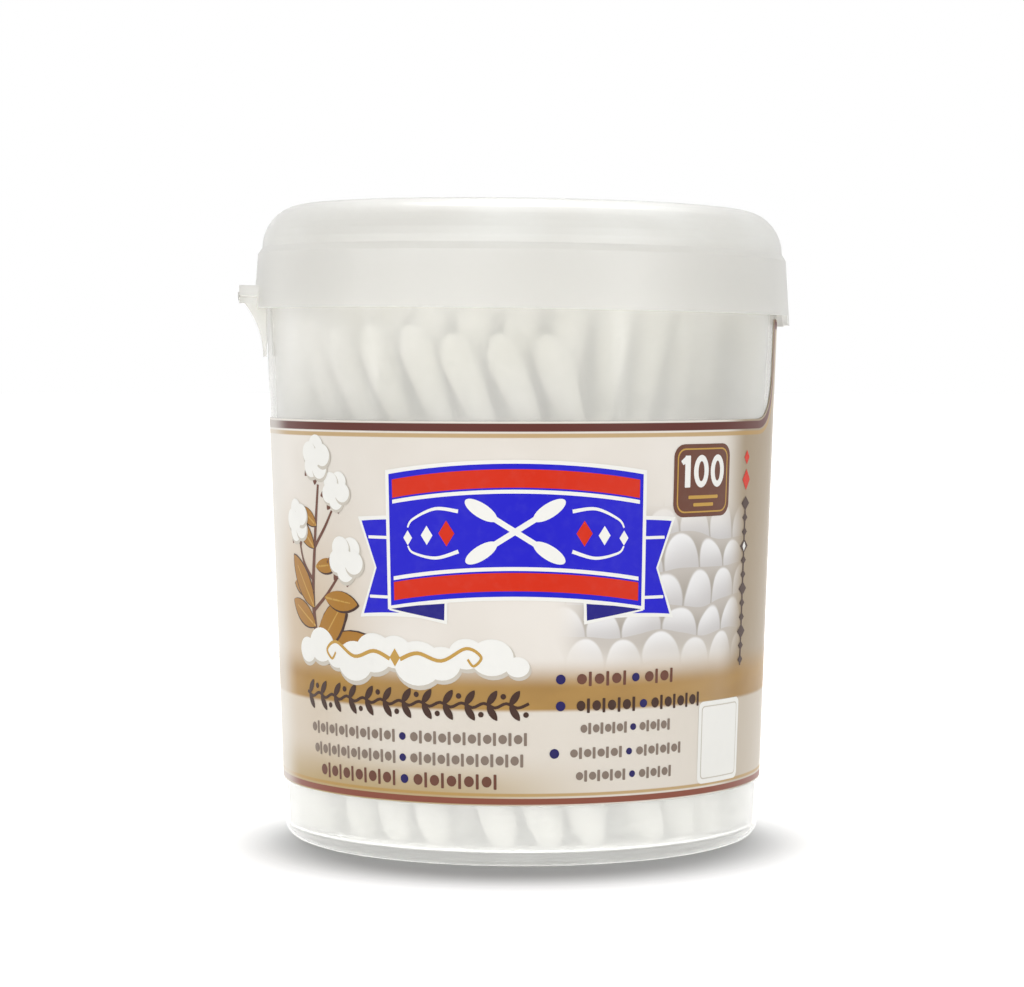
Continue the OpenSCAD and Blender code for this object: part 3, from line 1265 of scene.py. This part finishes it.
@dataclass
class LabelArt:
    """The printed shapes of the label, on its front and again on its back.

    Lengths are in millimetres on the unrolled label.

    Attributes:
        wall: The wall that carries the label.
        back: Distance round the tub from the front's drawing to the back's.
        sheets: The shapes of each ink.
    """

    wall: Wall
    back: float = math.pi * UNROLL_MM
    sheets: dict[Ink, InkSheet] = field(default_factory=lambda: {ink: InkSheet() for ink in Ink})

    def banner(self, s: float, z: float) -> None:
        """Draws the blue ribbon with its white and red lines and a pair of crossed swabs.

        Args:
            s: Its middle round the tub.
            z: Its middle height.
        """
        navy, blue, white, red = (self.sheets[i] for i in (Ink.NAVY, Ink.BLUE, Ink.WHITE, Ink.RED))
        for side in (-1, 1):
            white.sash((s + side * 15.6, z - 3.7), 13.2, 13.2, 0.3, 1, notch=-side * 2.6)
            blue.sash((s + side * 15.5, z - 3.7), 12.2, 12.2, 0.3, 2, notch=-side * 2.3)
            white.stroke([(s + side * 9.0, z - 9.3), (s + side * 17.4, z - 9.0)], (3.0, 0.4), 3)
            navy.stroke([(s + side * 9.4, z - 9.2), (s + side * 17.2, z - 8.9)], (2.2, 0.2), 4)
            for lift in (3.9, -3.9):
                white.bar((s + side * 18.9, z - 3.6 + lift), 3.2, 0.4, 0.1, 3)
        white.sash((s, z), 35.2, 18.2, 1.5, 4.5)
        blue.sash((s, z), 34.2, 17.2, 1.5, 5.5)
        for lift in (6.7, -6.7):
            red.sash((s, z + lift), 33.2, 2.4, 1.5, 6.5)
        for lift in (5.0, -5.0):
            white.sash((s, z + lift), 33.2, 0.5, 1.5, 7.5)
        self.swab_pair(s, z + 1.3)
        for side in (-1, 1):
            for i, size in enumerate((2.4, 1.8, 1.4)):
                x = s + side * (9.0 + 2.7 * i)
                rise = 1.45 * (1 - ((x - s) / 16.5) ** 2)
                (red if i == 0 else white).gem((x, z + rise), size * 0.9, size * 1.4, 8.5)
            for lift in (1, -1):
                scroll = [(s + side * 7.4, z + 1.3 + lift * 2.6), (s + side * 10.5, z + 1.0 + lift * 3.2)]
                scroll += [(s + side * 13.6, z + 0.6 + lift * 2.2), (s + side * 14.4, z + 0.5 + lift * 1.2)]
                white.stroke(rounded_path(scroll), (0.5, 0.2), 8.5)

    def swab_pair(self, s: float, z: float) -> None:
        """Draws two crossed swabs in white.

        Args:
            s: Its middle round the tub.
            z: Its middle height.
        """
        white = self.sheets[Ink.WHITE]
        for turn, layer in ((32, 8), (-32, 9)):
            way = Vector((math.cos(math.radians(turn)), math.sin(math.radians(turn))))
            white.bar((s, z), 11.0, 0.75, 0.3, layer, turn)
            for end in (-1, 1):
                white.disc((s + way.x * 5.2 * end, z + way.y * 5.2 * end), 4.8, 1.9, layer + 0.3, turn)

    def boll(self, s: float, z: float, size: float, turn: float) -> None:
        """Draws one open cotton boll with its brown cup.

        Args:
            s: Place of its middle round the tub.
            z: Height of its middle.
            size: Width of the cotton.
            turn: Direction its stalk comes from, in degrees.
        """
        white, shade, brown = (self.sheets[i] for i in (Ink.WHITE, Ink.SHADE, Ink.BROWN))
        for spread in (-42, 0, 42):
            a = math.radians(turn + spread)
            stalk = (s + math.cos(a) * size * 0.62, z + math.sin(a) * size * 0.62)
            brown.leaf(stalk, size * 0.6, size * 0.26, 2, turn + spread + 180)
        for k in range(5):
            a = math.radians(turn + 180 + k * 72)
            x, y = s + math.cos(a) * size * 0.26, z + math.sin(a) * size * 0.26
            shade.disc((x + size * 0.025, y - size * 0.045), size * 0.56, size * 0.56, 3 + k)
            white.disc((x, y), size * 0.52, size * 0.5, 3.5 + k)
        white.disc((s, z), size * 0.4, size * 0.4, 8.2)

    def sprig(self, s: float, z: float) -> None:
        """Draws a cotton sprig.

        Args:
            s: Place of its foot round the tub.
            z: Height of its foot.
        """
        brown, ochre, gold, shadow = (self.sheets[i] for i in (Ink.BROWN, Ink.OCHRE, Ink.GOLD, Ink.UMBER))
        stem = rounded_path([(s, z), (s - 1.2, z + 8), (s - 0.4, z + 16), (s + 0.8, z + 24)])
        brown.stroke(stem, (0.9, 0.45), 1)
        for a, b, c in (
            ((s - 1.1, z + 7), (s + 2.2, z + 9.5), (s + 5.0, z + 12.5)),
            ((s - 0.9, z + 11), (s - 3.4, z + 13.5), (s - 4.4, z + 16.5)),
            ((s - 0.5, z + 15.5), (s + 1.9, z + 18.2), (s + 3.6, z + 20.6)),
        ):
            brown.stroke(rounded_path([a, b, c]), (0.55, 0.35), 1)
        leaves = (
            (-0.7, 3.5, 7.4, 3.0, 28),
            (-0.8, 5.0, 6.8, 2.8, 152),
            (-1.0, 9.6, 5.4, 2.2, 170),
            (0.1, 18.5, 4.4, 1.9, 148),
            (-0.3, 13.0, 4.8, 2.0, 6),
            (-0.4, 1.2, 11.5, 4.4, 12),
            (-0.4, 1.6, 9.6, 4.0, 50),
            (-1.0, 7.5, 8.6, 3.2, 128),
            (-0.6, 15.5, 6.2, 2.4, 138),
            (1.6, 9.0, 6.4, 2.6, -6),
        )
        for i, (x, y, length, width, turn) in enumerate(leaves):
            at = (s + x, z + y)
            shadow.leaf((at[0] + 0.12, at[1] - 0.12), length * 1.04, width * 1.12, 1.1 + 0.2 * i, turn)
            ochre.leaf(at, length, width, 1.2 + 0.2 * i, turn)
            a = math.radians(turn)
            tip = (at[0] + math.cos(a) * length * 0.8, at[1] + math.sin(a) * length * 0.8)
            gold.stroke([at, tip], (0.3, 0.15), 1.25 + 0.2 * i)
        bolls = ((6.0, 14.4, 6.2, 232), (-4.9, 19.0, 5.8, 285), (4.4, 23.4, 5.2, 238), (0.4, 27.6, 6.0, 265))
        for x, y, size, turn in bolls:
            self.boll(s + x, z + y, size, turn)

    def fleece(self, s: float, z: float, width: float) -> None:
        """Draws a long low cloud of loose cotton with gold scrolls over it.

        Args:
            s: Its middle round the tub.
            z: Its middle height.
            width: Its width.
        """
        white, shade, gold = (self.sheets[i] for i in (Ink.WHITE, Ink.SHADE, Ink.GOLD))
        count = int(width / 3.1)
        for k in range(count + 1):
            t = k / count
            x = s + width * (t - 0.5)
            size = 3.4 + 1.7 * math.sin(math.pi * t) + 0.9 * math.sin(k * 2.3)
            y = z + 0.9 * math.sin(k * 1.7)
            shade.disc((x + 0.2, y - 0.35), size * 1.25, size * 1.08, 3 + 0.1 * (k % 7))
            white.disc((x, y), size * 1.2, size, 4 + 0.1 * (k % 7))
        for k, side in enumerate((-1, 1)):
            x = s + side * width * 0.2
            curl = [(x - side * 6.0, z - 0.2), (x - side * 3.4, z + 0.7), (x, z - 0.2), (x + side * 3.4, z + 1.5)]
            curl += [(x + side * 5.4, z + 0.4), (x + side * 4.4, z - 0.8), (x + side * 3.6, z + 0.1)]
            gold.stroke(rounded_path(curl, 6), (0.55, 0.3), 6 + k)
        gold.gem((s, z), 1.6, 2.4, 6)

    def vine(self, s: float, z: float, width: float, height: float) -> None:
        """Draws a dark wavy vine with leaves on both sides.

        Args:
            s: Its middle round the tub.
            z: Its middle height.
            width: Its width.
            height: Its height.
        """
        dark = self.sheets[Ink.UMBER]
        count = round(width / (height * 0.8))
        pitch = width / count
        wave = [(s - width / 2 + pitch * i / 2, z + height * 0.08 * (1, -1)[i % 2]) for i in range(2 * count + 1)]
        dark.stroke(rounded_path(wave, 4), (0.4, 0.4), 2)
        for i in range(count):
            x = s - width / 2 + pitch * (i + 0.15)
            for up in (1, -1):
                dark.leaf((x, z), height * 0.66, height * 0.27, 2.5, up * 56)
            dark.disc((x + pitch * 0.72, z + height * 0.33 * (1, -1)[i % 2]), 0.75, 0.75, 2.5, steps=12)

    def beads(self, s: float, z: float, width: float, height: float, ink: Ink) -> None:
        """Draws a row of oval beads parted by upright reels, with a navy dot in its middle.

        Args:
            s: Its middle round the tub.
            z: Its middle height.
            width: Its width.
            height: Height of the reels.
            ink: Ink of the beads.
        """
        sheet = self.sheets[ink]
        count = round(width / (height * 1.2))
        pitch = width / count
        for i in range(count):
            x = s - width / 2 + pitch * (i + 0.5)
            if i == count // 2:
                self.sheets[Ink.SLATE].disc((x, z), height * 0.6, height * 0.6, 2.5, steps=16)
                continue
            sheet.disc((x - pitch * 0.15, z), pitch * 0.56, height * 0.72, 2, steps=16)
            sheet.bar((x + pitch * 0.32, z), 0.4, height, 0.1, 2)

    def upright(self, s: float, z: float) -> None:
        """Draws the upright ornament at the label's right: two red lozenges over a dark beaded line.

        Args:
            s: Its middle round the tub.
            z: Its middle height.
        """
        red, dark, white = (self.sheets[i] for i in (Ink.RED, Ink.UMBER, Ink.WHITE))
        for lift, size in ((14.6, 1.5), (11.6, 2.2)):
            red.gem((s, z + lift), size, size * 1.3, 2)
        dark.bar((s, z - 2.2), 0.32, 22.6, 0.1, 2)
        for i in range(12):
            size = 1.5 if i % 3 else 2.3
            dark.gem((s, z + 8.4 - 1.92 * i), size, size * 0.85, 2.5)
        white.gem((s, z + 2.6), 0.9, 1.3, 3.5)

    def count_badge(self, s: float, z: float) -> None:
        """Draws the brown badge with the number of swabs, a plain 100.

        Args:
            s: Its middle round the tub.
            z: Its middle height.
        """
        brown, gold, white = (self.sheets[i] for i in (Ink.BROWN, Ink.GOLD, Ink.WHITE))
        brown.bar((s, z), 10.6, 9.6, 1.7, 2)
        gold.bar((s, z), 9.5, 8.5, 1.3, 3)
        brown.bar((s, z), 9.1, 8.1, 1.15, 4)
        top = z + 1.2
        white.bar((s - 3.0, top), 0.95, 4.2, 0.1, 5)
        white.bar((s - 3.55, top + 1.45), 1.1, 0.7, 0.1, 5.2, 38)
        for x in (-0.55, 2.6):
            white.ring((s + x, top), 2.75, 4.3, 0.82, 5)
        for drop, width in ((2.2, 5.6), (3.2, 3.8)):
            gold.bar((s, z - drop), width, 0.45, 0.15, 5)

    def blank_panel(self, s: float, z: float) -> None:
        """Draws the plain white panel with a fine grey line inside its edge.

        Args:
            s: Its middle round the tub.
            z: Its middle height.
        """
        white, shade = self.sheets[Ink.WHITE], self.sheets[Ink.SHADE]
        white.bar((s, z), 9.6, 11.0, 0.9, 2)
        shade.bar((s, z), 8.4, 9.8, 0.6, 3)
        white.bar((s, z), 8.1, 9.5, 0.5, 4)

    def bullets(self, s: float, rows: Sequence[tuple[float, float, float, float, Ink, bool]]) -> None:
        """Draws the rows on the right.

        Args:
            s: Place of the dots that open some rows, round the tub.
            rows: Height, indent, width and reel height of each row, its ink, and whether a dot opens it.
        """
        for z, indent, width, reel, ink, opened in rows:
            if opened:
                self.sheets[Ink.SLATE].disc((s + min(0.0, indent), z), 1.3, 1.3, 3, steps=16)
            self.beads(s + 2.0 + indent + width / 2, z, width, reel, ink)

    def build(self, effects: Effects) -> list[Object]:
        """Draws everything and makes one piece for each ink.

        Args:
            effects: The shared node groups.

        Returns:
            The printed pieces.
        """
        for turn in (0.0, self.back):
            self.banner(turn - 0.8, 42.6)
            self.sprig(turn - 31.5, 25.5)
            self.fleece(turn - 17.5, 27.2, 34.0)
            self.vine(turn - 17.0, 21.3, 36.0, 3.6)
            self.beads(turn - 16.6, 16.9, 35.0, 1.7, Ink.TAUPE)
            self.beads(turn - 16.6, 14.1, 34.0, 1.7, Ink.TAUPE)
            self.beads(turn - 17.6, 11.3, 29.0, 2.0, Ink.BROWN)
            rows = (
                (24.7, 0.0, 14.6, 1.9, Ink.BROWN, True),
                (21.2, 0.0, 19.5, 1.9, Ink.UMBER, True),
                (18.2, 0.6, 13.6, 1.5, Ink.TAUPE, False),
                (15.0, -0.8, 17.0, 1.5, Ink.TAUPE, True),
                (12.0, 0.0, 14.6, 1.5, Ink.TAUPE, False),
            )
            self.bullets(turn + 5.2, rows)
            self.upright(turn + 36.2, 38.4)
            self.count_badge(turn + 26.3, 50.2)
            self.blank_panel(turn + 31.4, 15.2)
        pieces = []
        for ink, sheet in self.sheets.items():
            piece = sheet.wrap(self.wall, f"print_{ink.name.lower()}", PrintedInk(ink).make(effects))
            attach(piece, "tub")
            pieces.append(piece)
        return pieces


@dataclass(frozen=True)
class LabelFilm:
    """Printed ground of the label: cream field, gold band, packed tips, border lines; painted edge sheen.

    Lengths are in millimetres on the unrolled label.

    Attributes:
        name: Name of the material.
        window_at: Azimuth of the window's middle, in degrees.
        window_half: Half the window's width, in degrees.
        sill: Height of the window's lower edge.
        corner: Rounding of the window's lower corners.
        low: Height of the label's lower edge.
        high: Height of the label's upper edge.
        lets_light: Share of the lamps' light that the film lets through.
        tip_pitch: Distance round the tub from one printed tip to the next.
        tip_rise: Distance from one row of printed tips to the next.
        relief: Depth of the film's own unevenness, in metres.
    """

    name: str = "label_print"
    window_at: float = -19.0
    window_half: float = 96.0
    sill: float = 58.1
    corner: float = 6.7
    low: float = 8.2
    high: float = 71.6
    lets_light: float = 0.75
    tip_pitch: float = 5.6
    tip_rise: float = 4.3
    relief: float = 0.06 * MM

    def window_distance(self, s: Signal, z: Signal) -> Signal:
        """Distance from the window's outline into the label.

        Args:
            s: Distance round the tub from the front.
            z: Height.

        Returns:
            The distance, above 0 on the label.
        """
        per_degree = math.radians(1) * UNROLL_MM
        across = (s - self.window_at * per_degree).math("ABSOLUTE") - (self.window_half * per_degree - self.corner)
        down = (z * -1.0) + (self.sill + self.corner)
        outer = across.math("MAXIMUM", 0.0).hypot(down.math("MAXIMUM", 0.0))
        return outer + across.math("MAXIMUM", down).math("MINIMUM", 0.0) - self.corner

    def border(self, s: Signal, z: Signal) -> tuple[Signal, Signal, Signal]:
        """The lines along the label's edges and its window.

        Args:
            s: Distance round the tub from the front.
            z: Height.

        Returns:
            Masks of the dark frame, the gold trim inside it and the line at the foot.
        """
        edge = self.window_distance(s, z)
        panel = edge.ramp(0.02, 0.05) * z.ramp(self.high - 2.0, self.high - 1.9)
        frame = edge.band(0.25, 1.3, 0.06).math("MAXIMUM", z.band(self.high - 1.3, self.high - 0.3, 0.06) * panel)
        trim = edge.band(1.55, 2.1, 0.08).math("MAXIMUM", z.band(self.low + 1.2, self.low + 1.6, 0.08))
        return frame, trim, z.band(self.low + 0.15, self.low + 0.95, 0.06)

    def packed_tips(self, bench: Bench, t: Signal, z: Signal) -> tuple[Socket, Signal]:
        """Rows of pale rounded tips, and where they are printed.

        Args:
            bench: The material's bench.
            t: Distance round the tub from the middle of the drawing.
            z: Height.

        Returns:
            The colour of the tips and their mask.
        """
        place = t.band(7.0, 34.0, 3.0) * z.band(28.0, 45.5, 3.0)
        spot = bench.vector(t * 0.1, z * 0.1, 0.0)
        t = t + (bench.grain(spot, 1.0, 0.0) - 0.5) * 2.6
        z = z + (bench.grain(spot, 1.3, 0.0) - 0.5) * 3.0
        row = (z / self.tip_rise).math("FLOOR")
        u = (t / self.tip_pitch + row.math("FLOORED_MODULO", 2.0) * 0.5).math("FRACT") - 0.5
        v = (z / self.tip_rise).math("FRACT") - 0.5
        reach = (u / 0.5).hypot((v + 0.42) / 0.88)
        inside = reach.ramp(1.02, 0.9)
        lit = (v + u * -0.25).ramp(-0.6, 0.45)
        tip = bench.blend(lit, srgb("c9c6c6"), srgb("f6f6f7"))
        gap = bench.blend(v.ramp(-0.2, 0.6), srgb("a39a90"), srgb("c2bbb4"))
        return bench.blend(inside, gap, tip), place * 0.85

    def make(self, effects: Effects, back: float) -> Material:
        """Builds the material.

        Args:
            effects: The shared node groups.
            back: Distance round the tub from the front's drawing to the back's.

        Returns:
            The material.
        """
        made, bench, shader, output = new_material(self.name)
        spot = bench.place()
        x, y, height = bench.axes(spot)
        s = x.math("ARCTAN2", y * -1.0) * UNROLL_MM
        z = height * (1 / MM)
        t = s.math("WRAP", back / 2, -back / 2)
        inner = t.ramp(-53.0, -43.0)
        left_glow = t.ramp(-16.0, -34.0) * z.ramp(52.0, 30.0) * inner
        right_tone = t.ramp(30.0, 36.0) * t.ramp(54.0, 46.0)
        tips, tips_mask = self.packed_tips(bench, t, z)
        low_glow = z.ramp(15.5, 9.5) * t.ramp(16.0, -14.0) * inner
        gold = bench.blend(bench.grain(spot, 90.0, 2.0, (1.0, 1.0, 2.5)), srgb("8f6414"), srgb("b88c34"))
        fading = (t.ramp(42.0, 10.0) * inner).math("MULTIPLY_ADD", 0.12, 0.8)
        gold_band = z.ramp(20.3, 20.9) * z.ramp(27.6, 23.4) * fading
        frame, trim, foot = self.border(s, z)
        # painted sheen: the film is whitened towards the left edge of each drawing, in place of the reflection it
        # shows at a grazing angle
        painted_edge_sheen = t.ramp(-38.0, -45.0) * t.ramp(-54.0, -49.0)
        seam = (s.math("ABSOLUTE") - (math.pi * UNROLL_MM - 5.0)).band(-0.08, 0.08, 0.05)
        cloud = bench.grain(spot, 45.0, 3.0).ramp(0.3, 0.7)
        colour = bench.blend(cloud, srgb("e2dbd1"), srgb("ece6de"))
        for mask, coat in (
            (left_glow * 0.6, srgb("bd9c6c")),
            (right_tone * 0.85, srgb("96805f")),
            (tips_mask, tips),
            (z.ramp(21.0, 20.4) * 0.55, srgb("ddd4c6")),
            (low_glow * 0.8, srgb("b1965f")),
            (gold_band, gold),
            (trim * 0.8, srgb("b8924f")),
            (foot, srgb("8a4f3e")),
            (frame, srgb("5c2c24")),
            (painted_edge_sheen * 0.6, srgb("e6e2da")),
            (seam * 0.5, srgb("8f7f66")),
        ):
            colour = bench.blend(mask, colour, coat)
        marks = bench.use(effects.marks, Vector=spot, Amount=0.5)["Marks"]
        bench.feed(
            shader,
            Base_Color=colour,
            Roughness=marks * PRINT_RUB + PRINT_ROUGH,
            Normal=bench.bump(bench.grain(spot, 160.0, 2.0) - seam * 0.4, self.relief),
            Specular_IOR_Level=PRINT_GLOSS,
        )
        bench.let_lamps_through(shader, output, self.lets_light)
        return made


# Studio


@dataclass(frozen=True)
class Lamp:
    """One soft box.

    Attributes:
        name: Name of the lamp.
        place: Where it stands, in metres.
        aim: The point it faces.
        width: Width of its face.
        height: Height of its face.
        power: Power in watts.
    """

    name: str
    place: Place
    aim: Place
    width: float
    height: float
    power: float

    def build(self) -> Object:
        """Makes the lamp.

        Returns:
            The lamp's object.
        """
        data = bpy.data.lights.new(self.name, "AREA")
        data.shape = "RECTANGLE"
        data.size, data.size_y = self.width, self.height
        data.energy = self.power
        made = bpy.data.objects.new(self.name, data)
        made.location = self.place
        made.rotation_euler = (Vector(self.aim) - Vector(self.place)).to_track_quat("-Z", "Y").to_euler()
        bpy.context.scene.collection.objects.link(made)
        return made


@dataclass
class Studio:
    """Camera, lamps, surroundings and ground.

    Attributes:
        camera_y: Distance of the camera in front of the tub's axis.
        camera_z: Height of the camera.
        pitch: Degrees that it looks down.
        lens: Focal length in millimetres on a 36 mm sensor.
        shift: Sideways shift of the lens, as a share of the picture's width.
        ambient: Strength of the surroundings' light.
        mirrored: How far reflections of the surroundings are lifted to white.
        lamps: The soft boxes.
    """

    camera_y: float = 418 * MM
    camera_z: float = 65.5 * MM
    pitch: float = 2.488
    lens: float = 104.8
    shift: float = -0.0092
    ambient: float = 0.5
    mirrored: float = 0.7
    lamps: tuple[Lamp, ...] = field(
        default_factory=lambda: (
            Lamp("key", (-0.45, -0.7, 0.2), (0, 0, 0.02), 0.8, 0.6, 2.3),
            Lamp("fill", (0.6, -0.62, 0.17), (0, 0, 0.02), 0.8, 0.6, 1.75),
            Lamp("strip_right", (0.42, -0.45, 0.12), (0, 0, 0.07), 0.04, 0.5, 0.35),
            Lamp("strip_left", (-0.556, -0.225, 0.1), (0, 0, 0.07), 0.04, 0.5, 0.35),
            Lamp("rim_left", (-0.5, 0.3, 0.12), (0, 0, 0.04), 0.15, 0.4, 0.12),
            Lamp("top", (0.02, 0.25, 0.75), (0, 0, 0.0), 0.5, 0.4, 2.0),
        )
    )

    def build(self) -> None:
        """Makes everything that isn't part of the tub."""
        scene = bpy.context.scene
        scene.view_settings.view_transform = "Standard"
        data = bpy.data.cameras.new("camera")
        data.lens, data.sensor_width, data.shift_x = self.lens, 36.0, self.shift
        data.clip_start, data.clip_end = 0.01, 20.0
        camera = bpy.data.objects.new("camera", data)
        camera.location = (0, -self.camera_y, self.camera_z)
        camera.rotation_euler = (math.radians(90 - self.pitch), 0, 0)
        scene.collection.objects.link(camera)
        scene.camera = camera
        for lamp in self.lamps:
            lamp.build()
        self._surroundings()
        bm = bmesh.new()
        bmesh.ops.create_circle(bm, cap_ends=True, radius=6.0, segments=64)
        ground = finish_mesh(bm, "ground", Floor().make(), smooth=False)

    def _surroundings(self) -> None:
        """White all round where it is seen, and softer as light on the tub."""
        world = bpy.data.worlds.new("surroundings")
        bpy.context.scene.world = world
        world.use_nodes = True
        bench = Bench(world.node_tree)
        direct, mirrored, through = bench.rays("Is Camera Ray", "Is Glossy Ray", "Is Transmission Ray")
        seen = (direct + mirrored * self.mirrored + through).math("MINIMUM", 1.0)
        strength = seen * (1.0 - self.ambient) + self.ambient
        bench.feed(world.node_tree.nodes["Background"], Color=(1.0, 1.0, 1.0, 1.0), Strength=strength)


def main() -> None:
    """Loads the frame and dresses it."""
    logging.basicConfig(level=logging.INFO, format="%(name)s: %(message)s")
    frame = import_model()
    Studio().build()
    effects = Effects()
    tub_plastic = MilkyPlastic(
        name="tub_plastic",
        thin="e4e3dd",
        dense="ecebe7",
        clear=0.63,
        rough=0.19,
        lets_light=0.98,
        # painted light: the tub's foot and lower band are painted lighter, for the light the white ground throws back
        low="f8f8f5",
        painted_tone_from=10 * MM,
        painted_tone_to=30 * MM,
    ).make(effects)
    lid_plastic = MilkyPlastic(
        name="lid_plastic",
        thin="ebeae6",
        dense="f3f3f0",
        clear=0.5,
        rough=0.3,
        lets_light=0.98,
        # painted shade: the lid's skirt is painted a little darker, against the stronger light the front lamps throw
        # on it
        low="e9e8e4",
        painted_tone_from=79.6 * MM,
        painted_tone_to=82.2 * MM,
    ).make(effects)
    tips = CottonTips()
    paper = RolledPaper().make()
    dress(frame["nodes"]["tub"], tub_plastic)
    dress(frame["nodes"]["lid"], lid_plastic)
    for ring in range(1, tips.rings + 1):
        dress(frame["nodes"][f"sticks_ring_{ring}"], paper)
    tips.build(frame, WoundCotton().make())
    art = LabelArt(Wall())
    dress(frame["nodes"]["label"], LabelFilm().make(effects, art.back))
    art.build(effects)
    HingeFilm().build(lid_plastic)
    GateMark("lid_gate_mark", "lid", "lid_plastic", LID_GATE, (0.014, 0.0, 1.0)).build(lid_plastic)
    GateMark("floor_gate_mark", "tub", "tub_plastic", FLOOR_GATE, (0.0, 0.0, -1.0)).build(tub_plastic)


if __name__ == "__main__":
    main()
